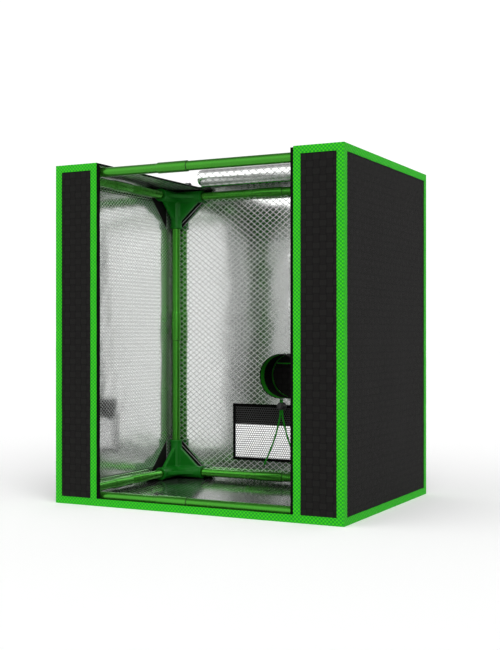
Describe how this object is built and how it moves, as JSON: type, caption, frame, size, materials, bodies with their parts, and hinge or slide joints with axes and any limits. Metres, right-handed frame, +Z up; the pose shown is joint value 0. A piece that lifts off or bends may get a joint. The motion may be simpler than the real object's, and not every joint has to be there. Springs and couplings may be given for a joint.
{
  "type": "indoor grow tent",
  "caption": "Small indoor grow tent: black fabric shell edged in green over a green pole frame, silver lining, door rolled up on the roof, duct sleeve and vent window in the back",
  "frame": {"origin": "centre of the underside", "axes": "+Z up, the door faces -Y, +X to the right as seen from the front"},
  "size_m": [0.83, 0.6128, 0.9506],
  "materials": {
    "black_fabric": "black woven fabric, silver film on its inner side",
    "green_binding": "bright green woven tape",
    "pole_paint": "glossy green metallic paint on steel tube",
    "connector_plastic": "dark green moulded plastic",
    "mirror_lining": "silver film with a diamond emboss",
    "zip_tape": "black woven tape",
    "slider_metal": "black painted zinc",
    "net": "fine mesh",
    "cord": "green braided cord",
    "lock_plastic": "black moulded plastic"
  },
  "bodies": {
    "tent": {"back_bottom_pole_left": "pole_paint", "back_bottom_pole_right": "pole_paint", "back_left_upright_lower": "pole_paint", "back_left_upright_upper": "pole_paint", "back_panel": "black_fabric", "back_right_upright_lower": "pole_paint", "back_right_upright_upper": "pole_paint", "back_top_pole_left": "pole_paint", "back_top_pole_right": "pole_paint", "connector_back_left_bottom": "connector_plastic", "connector_back_left_top": "connector_plastic", "connector_back_right_bottom": "connector_plastic", "connector_back_right_top": "connector_plastic", "connector_front_left_bottom": "connector_plastic", "connector_front_left_top": "connector_plastic", "connector_front_right_bottom": "connector_plastic", "connector_front_right_top": "connector_plastic", "corner_patch_back_left_bottom": "black_fabric", "corner_patch_back_left_top": "black_fabric", "corner_patch_back_right_bottom": "black_fabric", "corner_patch_back_right_top": "black_fabric", "corner_patch_front_left_bottom": "black_fabric", "corner_patch_front_left_top": "black_fabric", "corner_patch_front_right_bottom": "black_fabric", "corner_patch_front_right_top": "black_fabric", "door_roll": "mirror_lining", "duct_sock": "black_fabric", "edge_binding": "green_binding", "floor_panel": "black_fabric", "front_bottom_pole_left": "pole_paint", "front_bottom_pole_right": "pole_paint", "front_left_upright_lower": "pole_paint", "front_left_upright_upper": "pole_paint", "front_panel": "black_fabric", "front_right_upright_lower": "pole_paint", "front_right_upright_upper": "pole_paint", "front_top_pole_left": "pole_paint", "front_top_pole_right": "pole_paint", "left_bottom_pole": "pole_paint", "left_drawcord": "cord", "left_panel": "black_fabric", "left_top_pole": "pole_paint", "left_zip_tape": "zip_tape", "right_bottom_pole": "pole_paint", "right_drawcord": "cord", "right_panel": "black_fabric", "right_top_pole": "pole_paint", "right_zip_tape": "zip_tape", "roof_panel": "black_fabric", "vent_binding": "zip_tape", "vent_net": "net"},
    "left_slider": {"left_zip_slider": "slider_metal"},
    "right_slider": {"right_zip_slider": "slider_metal"},
    "left_tab": {"left_pull_tab": "slider_metal"},
    "right_tab": {"right_pull_tab": "slider_metal"},
    "duct_cover": {"port_cover": "black_fabric"},
    "window_flap": {"vent_flap": "black_fabric"},
    "cord_lock": {"cord_lock_barrel": "lock_plastic"},
    "lock_plunger": {"cord_lock_plunger": "lock_plastic"}
  },
  "joints": [
    {"name": "left_zip_travel", "type": "slide", "parent": "tent", "child": "left_slider", "axis": [0, -1, 0], "range_m": [0, 0.459]},
    {"name": "right_zip_travel", "type": "slide", "parent": "tent", "child": "right_slider", "axis": [0, -1, 0], "range_m": [0, 0.459]},
    {"name": "left_tab_swing", "type": "hinge", "parent": "left_slider", "child": "left_tab", "pos_m": [-0.2772, 0.17022, 0.90046], "axis": [-1, 0, 0], "range_deg": [0, 100]},
    {"name": "right_tab_swing", "type": "hinge", "parent": "right_slider", "child": "right_tab", "pos_m": [0.2772, 0.17022, 0.90046], "axis": [-1, 0, 0], "range_deg": [0, 100]},
    {"name": "duct_cover_swing", "type": "hinge", "parent": "tent", "child": "duct_cover", "pos_m": [0, 0.3028, 0.4045], "axis": [1, 0, 0], "range_deg": [0, 90]},
    {"name": "window_flap_swing", "type": "hinge", "parent": "tent", "child": "window_flap", "pos_m": [0, 0.3028, 0.246], "axis": [1, 0, 0], "range_deg": [0, 85]},
    {"name": "cord_lock_slide", "type": "slide", "parent": "tent", "child": "cord_lock", "axis": [0, 0, 1], "range_m": [0, 0.01]},
    {"name": "plunger_press", "type": "slide", "parent": "cord_lock", "child": "lock_plunger", "axis": [0, 1, 0], "range_m": [0, 0.002], "stiffness_N_per_m": 300, "springref_m": -0.001}
  ]
}
